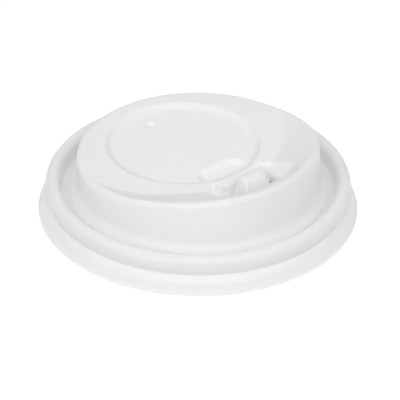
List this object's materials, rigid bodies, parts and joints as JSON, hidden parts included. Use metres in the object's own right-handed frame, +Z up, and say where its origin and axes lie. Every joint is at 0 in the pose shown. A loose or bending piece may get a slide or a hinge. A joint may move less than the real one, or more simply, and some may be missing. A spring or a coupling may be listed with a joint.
{
  "type": "coffee cup lid",
  "caption": "White one-piece travel lid for a hot-drink cup, with a domed drinking side, a sunk round deck and a tab with its lock pocket.",
  "frame": {"origin": "middle of the flat ring of the bottom edge, which the lid stands on", "axes": "+Z up along the lid's axis, -Y towards the drinking side, +X across the tab"},
  "size_m": [0.0946, 0.0946, 0.0231],
  "materials": {
    "white_polystyrene": "satin, as formed"
  },
  "bodies": {
    "root": {"lid": "white_polystyrene"}
  },
  "joints": []
}
